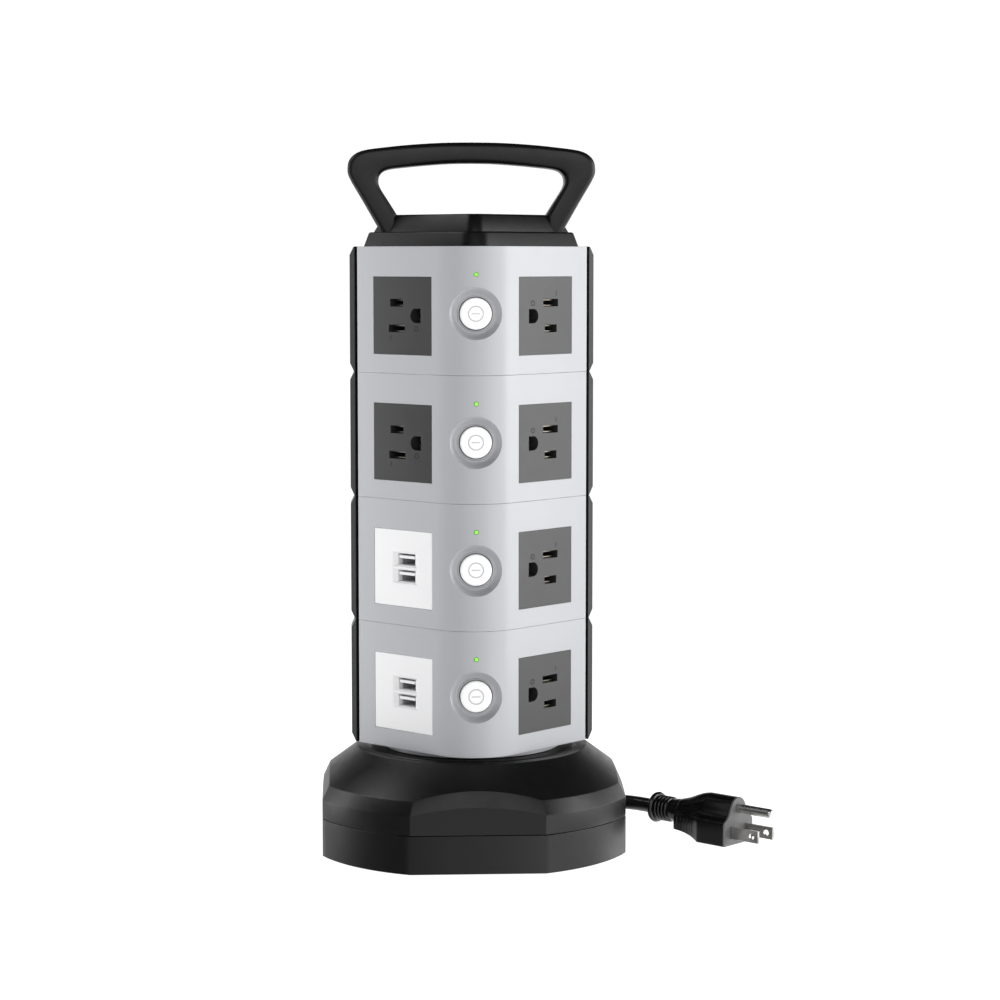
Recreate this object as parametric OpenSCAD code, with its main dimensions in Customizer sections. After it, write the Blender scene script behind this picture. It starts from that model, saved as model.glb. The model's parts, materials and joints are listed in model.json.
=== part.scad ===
// Tower power strip: four layers of outlets on a swivel base with a cord drum.
// Millimetres. The underside of the feet is z = 0 and the tower's axis is the Z axis.
// Outlet faces look along -Y (front), +X (right), +Y (back) and -X (left).
// The switch corner looks along +X -Y, and the handle lies over the other two corners.

/* [Tower] */
// Distance from the axis to the flat faces
face_r = 48.8; // [48:0.2:50]
// Radius of the two rounded corners
corner_r = 26.8; // [26:0.2:28]
// Height of one layer
layer_h = 63.5; // [62:0.5:66]
// Wall thickness of the silver shells
shell_t = 2.2; // [2:0.1:2.4]
// Distance from the axis to the outer flats of the black corner posts
post_r = 62.2; // [61:0.2:63]
// Distance along a face from its middle to the edge of a silver shell
shell_end = 33.7; // [33:0.1:34]
// Height of the thin gap at each layer seam
seam_gap = 0.1; // [0.1:0.1:0.4]

/* [Outlets] */
// Width of a face plate
plate_w = 40.4; // [40:0.2:41]
// Height of a face plate
plate_h = 39; // [38:0.5:40]
// Shift of a plate away from the rounded corner
plate_shift = 2; // [1.5:0.5:2]
// Height of a plate's centre above the bottom of its layer
plate_z = 28.95; // [28:0.05:31]
// Depth of an outlet behind the face
outlet_depth = 15; // [14:0.5:15.5]
// Depth of the slots behind the face
slot_depth = 12.5; // [12:0.5:12.5]

/* [Switches] */
// Diameter of the dished bezel
dish_d = 26; // [25:0.5:27]
// Diameter of a push button
button_d = 15.8; // [15:0.1:16]
// Travel of a push button
button_travel = 2.5; // [2:0.5:2.5]
// Height of a switch above the centre of the plates
switch_rise = 1.4; // [1:0.1:2]
// Diameter of an indicator lens
led_d = 2.3; // [2:0.1:3]
// Height of an indicator above the centre of the plates
led_rise = 20.65; // [20:0.05:22]

/* [Cap and handle] */
// Height of the lower tier of the cap
tier_1_h = 7.3; // [7:0.1:8]
// Height of the upper tier of the cap
tier_2_h = 8.7; // [8:0.1:9]
// Height of the top of the handle above the tower
handle_rise = 52.6; // [50:0.2:54]
// Thickness of the handle from front to back
handle_t = 16; // [15:0.5:17]

/* [Base] */
// Radius of the curved sides of the base
base_r = 84.2; // [83:0.1:85]
// Distance from the axis to the flat sides of the base
base_flat = 77.2; // [76.5:0.1:78]
// Height of the feet
foot_h = 0.8; // [0.8:0.1:1]
// Height of the seam between the two base shells
base_seam = 20.15; // [20:0.05:21]
// Height of the flat top of the base
base_top = 52.3; // [52:0.1:52.5]
// Wall thickness of the base shells
base_t = 2.5; // [2.2:0.1:2.8]

/* [Cord and plug] */
// Diameter of the mains cord
cord_d = 7.6; // [7.4:0.1:7.8]
// Height of the cord where it leaves the base
cord_z = 11.8; // [11.8:0.1:12]
// Width of the plug
plug_w = 24.4; // [24:0.2:26]

/* [Hidden] */

black = "#1b1b1d";
charcoal = "#303034";
silver = "#b9b9bf";
outlet_grey = "#4c4c4f";
steel = "#c9c9c9";
brass = "#c9a548";
$fn = 64;

layers = 4;
tower_z = base_top + 2.9;
tower_top = tower_z + layers * layer_h;
shell_in = face_r - shell_t;
corner_c = face_r - corner_r;
corner_front = corner_c * sqrt(2) + corner_r;
fit_gap = 0.1;
screw_d = 3;

// Layer 1 is at the top and layer 4 at the bottom
function layer_z(k) = tower_z + (layers - k) * layer_h;
function plate_mid(k) = layer_z(k) + plate_z;
function switch_z(k) = plate_mid(k) + switch_rise;

// Bosses that the tie rods pass through, clear of the outlets and the switches
bosses = [[29, 29], [-29, -29], [-29, 29], [18.5, -18.5]];

// ---------- shared shapes ----------

// Moves a part that is drawn on the -Y face, facing -Y, to one of the four faces.
// The right and left faces hold the same part turned half a turn in its own plane.
module on_face(side, k) {
  turn = side == "front" ? 0 : side == "right" ? 90 : side == "back" ? 180 : 270;
  flip = side == "right" || side == "left" ? 180 : 0;
  shift = flip == 0 ? -plate_shift : plate_shift;
  rotate([0, 0, turn]) translate([shift, -face_r, plate_mid(k)]) rotate([0, flip, 0]) children();
}

// Moves a part whose +Z points out of the tower to the middle of a switch on the rounded corner
module on_corner(z) {
  translate([0, 0, z]) rotate([0, 0, -45]) rotate([0, 90, 0]) children();
}

// A block from the face plane inward, centred on the face part's own axis
module block(w, h, from, to) {
  translate([-w / 2, from, -h / 2]) cube([w, to - from, h]);
}

// The tower's outline with its two rounded corners
module tower_outline(r, cr) {
  c = r - cr;
  translate([c, -c]) circle(cr, $fn = 128);
  translate([-c, c]) circle(cr, $fn = 128);
  polygon([[-r, -r], [c, -r], [c, -c], [r, -c], [r, r], [-c, r], [-c, c], [-r, c]]);
}

// ---------- base ----------

module base_plan(r, flat) {
  intersection() {
    circle(r, $fn = 180);
    rotate(45) square(2 * flat, center = true);
  }
}

dome_slope = 0.74;
band_low = [base_r, 30];
band_high = [80.5, 36.9];
flat_low = [base_flat, 34];
flat_high = [73.7, 41.9];
dome_r = flat_high[0] - (base_top - flat_high[1]) / dome_slope;

// The solid of the base from z = 0 up to its flat top, shrunk by a wall thickness t
module base_solid(t) {
  intersection() {
    rotate_extrude($fn = 180)
      polygon([[0, 0], [band_low[0] - t, 0], [band_low[0] - t, band_low[1]],
        [band_high[0] - t, band_high[1]], [dome_r - t * dome_slope, base_top - t], [0, base_top - t]]);
    both_flats(t);
  }
}

// The solid between the four flat sides
module both_flats(t) {
  intersection() {
    rotate([0, 0, 45]) flat_prism(t);
    rotate([0, 0, 135]) flat_prism(t);
  }
}

module flat_prism(t) {
  side = [[flat_low[0] - t, 0], [flat_low[0] - t, flat_low[1]], [flat_high[0] - t, flat_high[1]],
    [60, 80]];
  rotate([90, 0, 0]) linear_extrude(240, center = true)
    polygon(concat(side, [for (i = [3:-1:0]) [-side[i][0], side[i][1]]]));
}

base_screw_r = 66;
base_posts = [for (a = [45:90:315]) [base_screw_r * cos(a), base_screw_r * sin(a)]];

// Where the cord passes through the wall, and the way it points there
exit_p = [21.8, 81.3];
exit_a = 39;

module exit_axis() {
  translate([exit_p[0], exit_p[1], cord_z]) rotate([0, 0, exit_a]) rotate([0, 90, 0]) children();
}

bush_r = 6.4;
bush_bore = 5;
bush_in = 13;

module base_lower_shell() {
  color(charcoal) difference() {
    union() {
      difference() {
        translate([0, 0, foot_h]) linear_extrude(base_seam - foot_h) base_plan(base_r, base_flat);
        translate([0, 0, foot_h + base_t]) linear_extrude(base_seam)
          base_plan(base_r - base_t, base_flat - base_t);
      }
      for (p = base_posts) translate([p[0], p[1], foot_h + 1])
        cylinder(r = 4.5, h = base_seam - foot_h - 1.1);
    }
    for (p = base_posts) translate([p[0], p[1], 0]) {
      cylinder(d = screw_d + 0.4, h = 40);
      cylinder(d = 7, h = 6);
    }
    exit_axis() cylinder(r = bush_r, h = 30, center = true);
  }
}

module base_upper_shell() {
  color(charcoal) difference() {
    union() {
      difference() {
        base_solid(0);
        base_solid(base_t);
        cylinder(r = 200, h = base_seam);
      }
      for (p = base_posts) translate([p[0], p[1], base_seam]) cylinder(r = 4.5, h = 22);
      translate([0, 0, base_top - 6]) cylinder(r = 34, h = 4);
    }
    translate([0, 0, base_top - 8]) cylinder(r = 30.1, h = 20);
    for (p = base_posts) translate([p[0], p[1], 0]) cylinder(d = screw_d - 0.4, h = 36);
  }
}

module base_feet() {
  color(black) for (a = [0:90:270]) rotate([0, 0, a]) translate([70, 0, 0]) cylinder(r = 7, h = foot_h);
}

module screw(head_d, head_h, length) {
  cylinder(d = head_d, h = head_h);
  translate([0, 0, head_h]) cylinder(d = screw_d - 0.4, h = length);
}

module base_screws() {
  color(steel) for (p = base_posts) translate([p[0], p[1], 4]) screw(6, 2, 24);
}

// Bearing that the tower's hub turns in
hub_r = 20;
ring_h = 6.2;

module swivel_ring() {
  color("#e8e8e4") translate([0, 0, base_top - ring_h]) difference() {
    cylinder(r = 30, h = ring_h, $fn = 128);
    translate([0, 0, -1]) cylinder(r = hub_r + 0.05, h = ring_h + 2, $fn = 128);
  }
}

// ---------- turning parts under the tower ----------

disc_r = 46;
disc_z = base_top + 0.4;
drum_top = 34;

module swivel_disc() {
  color(silver) difference() {
    union() {
      translate([0, 0, disc_z]) cylinder(r = disc_r, h = tower_z - disc_z, $fn = 128);
      translate([0, 0, drum_top]) cylinder(r = hub_r, h = tower_z - drum_top, $fn = 128);
    }
    translate([0, 0, drum_top - 1]) cylinder(r = 12, h = 40);
    for (p = bosses) translate([p[0], p[1], disc_z]) {
      cylinder(r1 = 2.9, r2 = rod_d / 2 + fit_gap, h = rod_head);
      cylinder(d = rod_d + 2 * fit_gap, h = 10);
    }
  }
}

module swivel_keeper() {
  color(steel) translate([0, 0, base_top - ring_h - 2.3]) difference() {
    cylinder(r = 26, h = 2);
    translate([0, 0, -1]) cylinder(r = hub_r, h = 4);
  }
}

// The coil of cord: two columns of turns, three rows high, a cord's width apart
coil_in = 38;
coil_out = coil_in + 2 * cord_d;
coil_low = cord_z - cord_d / 2;
coil_high = coil_low + 3 * cord_d;
drum_gap = 0.4;
drum_r = 57;
drum_wall = 1.6;

module cord_drum() {
  color("#8c8c90") difference() {
    union() {
      translate([0, 0, coil_low - drum_gap - drum_wall]) cylinder(r = drum_r, h = drum_wall);
      cylinder_between(coil_in - drum_gap, coil_low - drum_gap - drum_wall, drum_top);
      translate([0, 0, coil_high + drum_gap]) cylinder(r = drum_r, h = drum_wall);
    }
    cylinder_between(coil_in - drum_gap - 2, 0, drum_top - 2);
    cylinder_between(12, 0, drum_top + 1);
  }
}

module cylinder_between(r, z0, z1) {
  translate([0, 0, z0]) cylinder(r = r, h = z1 - z0, $fn = 96);
}

// ---------- cord and plug ----------

module cord_coil() {
  color(black) rotate_extrude($fn = 128)
    translate([coil_in, coil_low]) rounded_rect(coil_out - coil_in, coil_high - coil_low, cord_d / 2);
}

module rounded_rect(w, h, r) {
  translate([r, 0]) square([w - 2 * r, h]);
  translate([0, r]) square([w, h - 2 * r]);
  for (x = [r, w - r], y = [r, h - r]) translate([x, y]) circle(r, $fn = 32);
}

// The cord from the drum, through the wall and along the floor to the plug
cord_route = [
  [-23.5, 44.5], [-12, 54], [0, 63.5], [11.5, 73], [20, 80], [26.5, 84.5],
  [31.5, 87], [37, 88.5], [42.5, 89], [51.5, 89]
];

function along(p, i) =
  let (a = p[max(i - 1, 0)], b = p[min(i + 1, len(p) - 1)], d = b - a) d / norm(d);

module tube(p, z, r, sides) {
  n = len(p);
  points = [for (i = [0:n - 1], s = [0:sides - 1])
    let (d = along(p, i), a = 360 * s / sides)
    [p[i][0] - d[1] * r * cos(a), p[i][1] + d[0] * r * cos(a), z + r * sin(a)]];
  walls = [for (i = [0:n - 2], s = [0:sides - 1])
    let (t = (s + 1) % sides) [i * sides + s, i * sides + t, (i + 1) * sides + t, (i + 1) * sides + s]];
  ends = [[for (s = [sides - 1:-1:0]) s], [for (s = [0:sides - 1]) (n - 1) * sides + s]];
  polyhedron(points, concat(walls, ends));
}

module cord_run() {
  color(black) tube(cord_route, cord_z, cord_d / 2, 12);
}

module cord_bush() {
  color(black) difference() {
    exit_axis() union() {
      translate([0, 0, -bush_in]) cylinder(r = bush_r - 0.05, h = bush_in + 5);
      translate([0, 0, -bush_in]) cylinder(r = bush_r + 1, h = 2);
    }
    exit_axis() cylinder(r = bush_bore, h = 40, center = true);
  }
}

// The plug lies on the floor, pointing along +X, with its flat side down
plug_face = 106.6;
plug_y = 89;
blade_z = 6.8;
blade_gap = 12.7;
ground_rise = 11.9;
plug_back = 51.5;

module plug_body() {
  color(black) difference() {
    union() {
      translate([plug_face - 22, plug_y - plug_w / 2, 0]) cube([21, plug_w, 15]);
      translate([plug_face - 22, plug_y, blade_z + ground_rise - 0.5]) rotate([0, 90, 0])
        cylinder(r = 6.8, h = 21);
      translate([plug_face - 36, plug_y - 8.5, 3]) cube([17, 17, 15]);
      for (i = [0:4]) translate([plug_back + i * 4, plug_y, cord_z]) rotate([0, 90, 0])
        cylinder(r = 7.2 - (i == 0 ? 0 : 1), h = 2.4);
      translate([plug_back, plug_y, cord_z]) rotate([0, 90, 0]) cylinder(r = 5.2, h = 22);
    }
    translate([plug_back - 1, plug_y, cord_z]) rotate([0, 90, 0]) cylinder(r = cord_d / 2, h = 9);
  }
}

module plug_bridge() {
  color("#9a9a9c") {
    translate([plug_face - 1, plug_y - plug_w / 2, 0]) cube([1, plug_w, 15]);
    translate([plug_face - 1, plug_y, blade_z + ground_rise - 0.5]) rotate([0, 90, 0])
      cylinder(r = 6.8, h = 1);
  }
}

module plug_prongs() {
  color(steel) {
    for (s = [-1, 1]) difference() {
      translate([plug_face, plug_y + s * blade_gap / 2 - 0.75, blade_z - 3.175]) cube([17.5, 1.5, 6.35]);
      translate([plug_face + 13.5, plug_y + s * blade_gap / 2, blade_z]) rotate([90, 0, 0])
        cylinder(r = 1.6, h = 4, center = true);
    }
    translate([plug_face, plug_y, blade_z + ground_rise]) rotate([0, 90, 0]) cylinder(d = 4.8, h = 19.4);
    translate([plug_face + 19.4, plug_y, blade_z + ground_rise]) sphere(d = 4.8, $fn = 32);
  }
}

// ---------- tower: cores and shells ----------

deck_t = 2.4;
groove_end = 35.6;
post_in = 30;
notch_h = 4.3;
notch_d = 2.1;
post_edge = post_r * sqrt(2) - face_r;

// Plan of the post at the +X +Y corner, with tongues that back the edges of the shells
module post_plan() {
  polygon([[face_r, groove_end], [face_r, post_edge], [post_edge, face_r], [groove_end, face_r],
    [groove_end, shell_in - fit_gap], [post_in, shell_in - fit_gap], [post_in, shell_in - 2.4],
    [shell_in - 2.4, post_in], [shell_in - fit_gap, post_in], [shell_in - fit_gap, groove_end]]);
}

// Bevels across the two posts at the top and bottom of a layer
module notches(z) {
  side = [[1, notch_h], [0, notch_h], [-notch_d, 0], [0, -notch_h], [1, -notch_h]];
  for (a = [45, 225]) rotate([0, 0, a]) translate([post_r, 0, z]) rotate([90, 0, 0])
    linear_extrude(40, center = true) polygon(side);
}

module core(k) {
  z = layer_z(k);
  color(black) difference() {
    union() {
      translate([0, 0, z]) for (a = [0, 180]) rotate([0, 0, a]) linear_extrude(layer_h) post_plan();
      translate([0, 0, z]) linear_extrude(deck_t) deck_plan();
      for (p = bosses) translate([p[0], p[1], z]) cylinder(r = 4, h = layer_h);
    }
    translate([0, 0, z - 1]) cylinder(r = 16, h = 5);
    for (p = bosses) translate([p[0], p[1], z - 1]) cylinder(d = rod_d + 2 * fit_gap, h = layer_h + 2);
    notches(z);
    notches(z + layer_h);
  }
}

module deck_plan() {
  intersection() {
    tower_outline(shell_in - fit_gap, corner_r - shell_t);
    rotate(45) square([2 * (post_r - 6), 2 * corner_front], center = true);
  }
}

module core_1() { core(1); }
module core_2() { core(2); }
module core_3() { core(3); }
module core_4() { core(4); }

// A shell that wraps the rounded corner at +X -Y
module shell_plan() {
  difference() {
    tower_outline(face_r, corner_r);
    tower_outline(shell_in, corner_r - shell_t);
    translate([-80, -80]) square([80 - shell_end, 160]);
    translate([-80, shell_end]) square([160, 80]);
    translate([-80, -40]) square([120, 120]);
  }
}

module shell_wall(k) {
  translate([0, 0, layer_z(k) + seam_gap / 2]) linear_extrude(layer_h - seam_gap) shell_plan();
}

module plate_hole(side, k) {
  on_face(side, k) block(plate_w, plate_h, -5, 20);
}

module front_shell(k) {
  color(silver) difference() {
    shell_wall(k);
    plate_hole("front", k);
    plate_hole("right", k);
    on_corner(switch_z(k)) cylinder(d = dish_d, h = 80);
    on_corner(plate_mid(k) + led_rise) cylinder(d = led_d, h = 80);
  }
}

module rear_shell(k) {
  color(silver) difference() {
    rotate([0, 0, 180]) shell_wall(k);
    plate_hole("back", k);
    plate_hole("left", k);
  }
}

module front_shell_1() { front_shell(1); }
module front_shell_2() { front_shell(2); }
module front_shell_3() { front_shell(3); }
module front_shell_4() { front_shell(4); }
module rear_shell_1() { rear_shell(1); }
module rear_shell_2() { rear_shell(2); }
module rear_shell_3() { rear_shell(3); }
module rear_shell_4() { rear_shell(4); }

// ---------- outlets ----------

// Slots of a grounded outlet in its own plane: centre x, centre z, width and height
hot_slot = [-3.85, 6.45, 9.1, 3.9];
neutral_slot = [-3.75, -6.4, 11.3, 3.8];
ground_c = [9.2, 0.1];
ground_r = 3.6;
ground_flat = 3.5;
contact_in = 5;

module slot(s) {
  translate([s[0], 0, s[1]]) block(s[2], s[3], -1, slot_depth);
}

// Round on one side and square on the other
module ground_hole() {
  translate([ground_c[0], -1, ground_c[1]]) {
    rotate([-90, 0, 0]) cylinder(r = ground_r, h = slot_depth + 1);
    translate([0, 0, -ground_r]) cube([ground_flat, slot_depth + 1, 2 * ground_r]);
  }
}

module outlet(side, k) {
  color(outlet_grey) on_face(side, k) difference() {
    union() {
      block(plate_w - 0.2, plate_h - 0.2, 0, 6);
      block(plate_w + 2.6, plate_h + 3, shell_t + 0.1, 4.4);
      block(plate_w - 6, plate_h - 4, 4, outlet_depth);
    }
    slot(hot_slot);
    slot(neutral_slot);
    ground_hole();
  }
}

module outlet_front_1() { outlet("front", 1); }
module outlet_front_2() { outlet("front", 2); }
module outlet_right_1() { outlet("right", 1); }
module outlet_right_2() { outlet("right", 2); }
module outlet_right_3() { outlet("right", 3); }
module outlet_right_4() { outlet("right", 4); }
module outlet_back_1() { outlet("back", 1); }
module outlet_back_2() { outlet("back", 2); }
module outlet_back_3() { outlet("back", 3); }
module outlet_back_4() { outlet("back", 4); }
module outlet_left_1() { outlet("left", 1); }
module outlet_left_2() { outlet("left", 2); }
module outlet_left_3() { outlet("left", 3); }
module outlet_left_4() { outlet("left", 4); }

// Spring leaves on both sides of a blade
module leaves(s) {
  for (d = [-1, 1]) translate([s[0], 0, s[1] + d * 1.35]) block(s[2] - 1, 0.5, 3, slot_depth);
}

module contacts(side, k) {
  on_face(side, k) {
    leaves(hot_slot);
    leaves(neutral_slot);
    translate([ground_c[0], contact_in, ground_c[1]]) rotate([-90, 0, 0]) difference() {
      cylinder(r = 3, h = slot_depth - contact_in);
      translate([0, 0, -1]) cylinder(r = 2.5, h = 20);
    }
  }
}

module outlet_contacts() {
  color(brass) {
    for (k = [1:2]) contacts("front", k);
    for (side = ["right", "back", "left"], k = [1:layers]) contacts(side, k);
  }
}

// ---------- USB ----------

port_x = 1.5;
port_z = [4.5, -3.9];
port_w = 12;
port_h = 5.9;

module usb_plate(k) {
  color("#f2f2f2") on_face("front", k) difference() {
    union() {
      block(plate_w - 0.2, plate_h - 0.2, 0, shell_t + 0.2);
      block(plate_w + 2.6, plate_h + 3, shell_t + 0.1, 4.4);
    }
    translate([port_x, 0, 0]) block(17.4, 15.4, -1, 0.8);
    for (z = port_z) translate([port_x, 0, z]) block(port_w, port_h, -1, 10);
  }
}

module usb_plate_3() { usb_plate(3); }
module usb_plate_4() { usb_plate(4); }

module usb_sockets() {
  color(steel) for (k = [3, 4], z = port_z) on_face("front", k) translate([port_x, 0, z]) difference() {
    block(port_w + 1.2, port_h + 1.2, 4.5, 17);
    block(port_w, port_h, 4, 16.4);
  }
}

module usb_tongues() {
  color("#f4f4f4") for (k = [3, 4], z = port_z) on_face("front", k)
    translate([port_x, 0, z + 1.2]) block(port_w - 1.4, 1.4, 1.4, 16.4);
}

board_green = "#1f5a34";

// The charger board behind a USB plate, with its transformer and two capacitors
module usb_board(k) {
  on_face("front", k) {
    color(board_green) block(36, 34, 17.1, 18.7);
    color(black) translate([-6, 18.7, 0]) block(15, 14, 0, 11);
    for (z = [-11, 11]) color("#3a4a6a") translate([10, 18.7, z]) rotate([-90, 0, 0])
      cylinder(r = 4, h = 11);
  }
}

// ---------- switches ----------

dish_rim = 54.4;
dish_floor = 52.2;
button_top = 54.9;
button_len = 6;
switch_top = button_top - button_len - button_travel - 0.3;

module bezel(k) {
  color(silver) intersection() {
    on_corner(switch_z(k)) rotate_extrude($fn = 96)
      polygon([[button_d / 2 + 0.4, switch_top], [dish_d / 2 - fit_gap, switch_top],
        [dish_d / 2 - fit_gap, 60], [dish_d / 2 - 0.8, 60], [dish_d / 2 - 0.8, dish_rim],
        [dish_d / 2 - 2.4, dish_floor + 0.3], [button_d / 2 + 2, dish_floor],
        [button_d / 2 + 0.8, dish_floor + 1], [button_d / 2 + 0.4, dish_floor + 1.2]]);
    translate([0, 0, switch_z(k) - 20]) linear_extrude(40) tower_outline(face_r, corner_r);
  }
}

module bezel_1() { bezel(1); }
module bezel_2() { bezel(2); }
module bezel_3() { bezel(3); }
module bezel_4() { bezel(4); }

module button(k) {
  color("white") on_corner(switch_z(k)) {
    translate([0, 0, button_top - button_len]) cylinder(d = button_d, h = button_len, $fn = 96);
    translate([0, 0, button_top - button_len - 6]) cylinder(r = 2.5, h = 7);
  }
}

module button_1() { button(1); }
module button_2() { button(2); }
module button_3() { button(3); }
module button_4() { button(4); }

module switch_bodies() {
  color(charcoal) for (k = [1:layers]) on_corner(switch_z(k)) difference() {
    union() {
      translate([-12, -9, switch_top - 14]) cube([24, 18, 13.9]);
      translate([0, 0, switch_top - 2.9]) cylinder(r = 10, h = 2.8);
    }
    translate([0, 0, button_top - button_len - 6 - button_travel - 1]) cylinder(r = 2.9, h = 20);
  }
}

module led_lenses() {
  color("#7be02a") for (k = [1:layers]) on_corner(plate_mid(k) + led_rise) {
    translate([0, 0, corner_front - 5]) cylinder(d = led_d - 0.1, h = 4.9);
    translate([0, 0, corner_front - 6]) cylinder(d = led_d + 1.4, h = 2);
  }
}

// ---------- wiring inside ----------

module bus_bars() {
  color(brass) for (x = [-8, 0, 8])
    translate([x - 2.5, 9, tower_z + 1]) cube([5, 1, layers * layer_h - 4]);
}

// The surge board with its three varistors and its breaker
module surge_board() {
  z = layer_z(4) + 8;
  color(board_green) translate([-24, 14, z]) cube([40, 1.6, 44]);
  for (x = [-18, -4, 10]) color("#c4762a") translate([x, 15.6, z + 30]) rotate([-90, 0, 0])
    cylinder(r = 6, h = 4);
  color(black) translate([-20, 15.6, z + 4]) cube([18, 12, 14]);
}

module circuit_boards() {
  for (k = [3, 4]) usb_board(k);
  surge_board();
}

// Rods from the swivel disc to the cap that clamp the layers together
rod_d = 3;
rod_head = 1.5;

module tie_rods() {
  color(steel) for (p = bosses) translate([p[0], p[1], disc_z]) {
    cylinder(r1 = 2.8, r2 = rod_d / 2, h = rod_head);
    cylinder(d = rod_d, h = tower_top - disc_z + 3);
  }
}

// ---------- cap and handle ----------

tier_1_z = tower_top;
tier_2_z = tier_1_z + tier_1_h;
cap_top = tier_2_z + tier_2_h;

// A four-sided tier with sloped faces: half widths at its foot and its top
module tier(z, h, low, high, r) {
  translate([0, 0, z]) intersection() {
    linear_extrude(h) rounded_square(low, r);
    sloped(low, high, h);
    rotate([0, 0, 90]) sloped(low, high, h);
  }
}

// A square with small radii on the handle's corners and larger ones on the other two
module rounded_square(w, r) {
  small = 1;
  for (s = [-1, 1]) {
    translate([s * (w - r), -s * (w - r)]) circle(r);
    translate([s * (w - small), s * (w - small)]) circle(small);
  }
  polygon([[-w, small - w], [small - w, -w], [w - r, -w], [w - r, r - w], [w, r - w],
    [w, w - small], [w - small, w], [r - w, w], [r - w, w - r], [-w, w - r]]);
}

module sloped(low, high, h) {
  rotate([90, 0, 0]) linear_extrude(200, center = true)
    polygon([[-low, 0], [low, 0], [high, h], [-high, h]]);
}

lip_h = 2.2;

module top_cap() {
  color(charcoal) difference() {
    union() {
      tier(tier_1_z, tier_1_h, 38.6, 36.8, 9);
      tier(tier_2_z, tier_2_h - lip_h, 35.5, 32.5, 5);
      translate([0, 0, tier_2_z]) linear_extrude(tier_2_h) rounded_square(32.2, 4);
      translate([0, 0, tier_1_z - 1.5]) linear_extrude(1.5) lid_plan();
    }
    handle_solid();
    for (p = bosses) translate([p[0], p[1], tier_1_z - 2]) cylinder(d = rod_d, h = 5);
  }
}

// The cap's flange, which closes the top of the tower between the posts
module lid_plan() {
  difference() {
    intersection() {
      tower_outline(shell_in - fit_gap, corner_r - shell_t);
      rotate(45) square([2 * 52.3, 2 * corner_front], center = true);
    }
    for (p = bosses) translate([p[0], p[1]]) circle(4 + fit_gap);
  }
}

handle_top = tower_top + handle_rise;
grip_z = handle_top - 10.5;

module handle_outline() {
  outer = [[-46, tier_2_z], [-48.4, tower_top + 10.9], [-61.8, tower_top + 34.2],
    [-63, tower_top + 39.2], [-61.5, tower_top + 44.5], [-55.2, tower_top + 48.2],
    [-28.3, tower_top + 51.8], [-12, handle_top]];
  inner = [[-38, tier_2_z], [-38, cap_top], [-46.4, tower_top + 29.4], [-47.3, tower_top + 33],
    [-46.2, tower_top + 36.6], [-42.2, tower_top + 39], [-22.5, tower_top + 41.2], [-10, grip_z]];
  polygon(concat(outer, [for (i = [7:-1:0]) [-outer[i][0], outer[i][1]]],
    [for (i = [0:7]) [-inner[i][0], inner[i][1]]], [for (i = [7:-1:0]) inner[i]]));
}

module handle_solid() {
  rotate([0, 0, 45]) rotate([90, 0, 0]) linear_extrude(handle_t, center = true) handle_outline();
}

module handle() {
  color(charcoal) handle_solid();
}

base_lower_shell();
base_upper_shell();
base_feet();
base_screws();
swivel_ring();
cord_bush();
cord_coil();
cord_run();
plug_body();
plug_bridge();
plug_prongs();
swivel_disc();
swivel_keeper();
cord_drum();
core_1();
core_2();
core_3();
core_4();
front_shell_1();
front_shell_2();
front_shell_3();
front_shell_4();
rear_shell_1();
rear_shell_2();
rear_shell_3();
rear_shell_4();
outlet_front_1();
outlet_front_2();
outlet_right_1();
outlet_right_2();
outlet_right_3();
outlet_right_4();
outlet_back_1();
outlet_back_2();
outlet_back_3();
outlet_back_4();
outlet_left_1();
outlet_left_2();
outlet_left_3();
outlet_left_4();
outlet_contacts();
usb_plate_3();
usb_plate_4();
usb_sockets();
usb_tongues();
bezel_1();
bezel_2();
bezel_3();
bezel_4();
switch_bodies();
led_lenses();
bus_bars();
circuit_boards();
tie_rods();
top_cap();
handle();
button_1();
button_2();
button_3();
button_4();
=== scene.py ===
import json
import math

import bmesh
import bpy
from mathutils import Matrix, Vector


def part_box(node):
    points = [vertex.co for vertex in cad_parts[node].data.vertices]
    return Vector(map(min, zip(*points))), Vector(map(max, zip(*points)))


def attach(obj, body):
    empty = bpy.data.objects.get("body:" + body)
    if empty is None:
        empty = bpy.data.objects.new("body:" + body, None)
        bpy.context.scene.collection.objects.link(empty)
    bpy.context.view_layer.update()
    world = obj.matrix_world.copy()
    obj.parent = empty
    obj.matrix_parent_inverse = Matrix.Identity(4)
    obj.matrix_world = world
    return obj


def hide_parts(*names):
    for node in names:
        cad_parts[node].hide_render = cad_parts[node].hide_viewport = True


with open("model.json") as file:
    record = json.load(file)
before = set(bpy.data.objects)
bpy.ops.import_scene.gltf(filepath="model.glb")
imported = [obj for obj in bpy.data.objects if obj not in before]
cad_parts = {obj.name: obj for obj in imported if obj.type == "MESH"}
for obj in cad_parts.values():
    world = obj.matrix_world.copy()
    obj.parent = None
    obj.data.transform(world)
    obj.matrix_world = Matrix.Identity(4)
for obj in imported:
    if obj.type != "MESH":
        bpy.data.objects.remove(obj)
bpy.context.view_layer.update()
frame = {"nodes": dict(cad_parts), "record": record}
NODES = frame["nodes"]
MM = 0.001
LAYERS = (1, 2, 3, 4)
USB_LAYERS = (3, 4)        # where a USB plate takes the place of the front outlet
SIDES = ("front", "right", "back", "left")


# ---------- camera ----------

def look(obj, place, towards):
    """Puts obj at place and points its -Z axis at another point."""
    obj.location = place
    obj.rotation_euler = (Vector(towards) - Vector(place)).to_track_quat("-Z", "Y").to_euler()


def add(name, data):
    obj = bpy.data.objects.new(name, data)
    bpy.context.scene.collection.objects.link(obj)
    return obj


LENS_MM, SENSOR_MM = 93.7, 36
CAMERA_PLACE = (0.90665, -0.98302, 0.3030)
CAMERA_AIM = (-0.6670, 0.7393, -0.0923)


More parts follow.
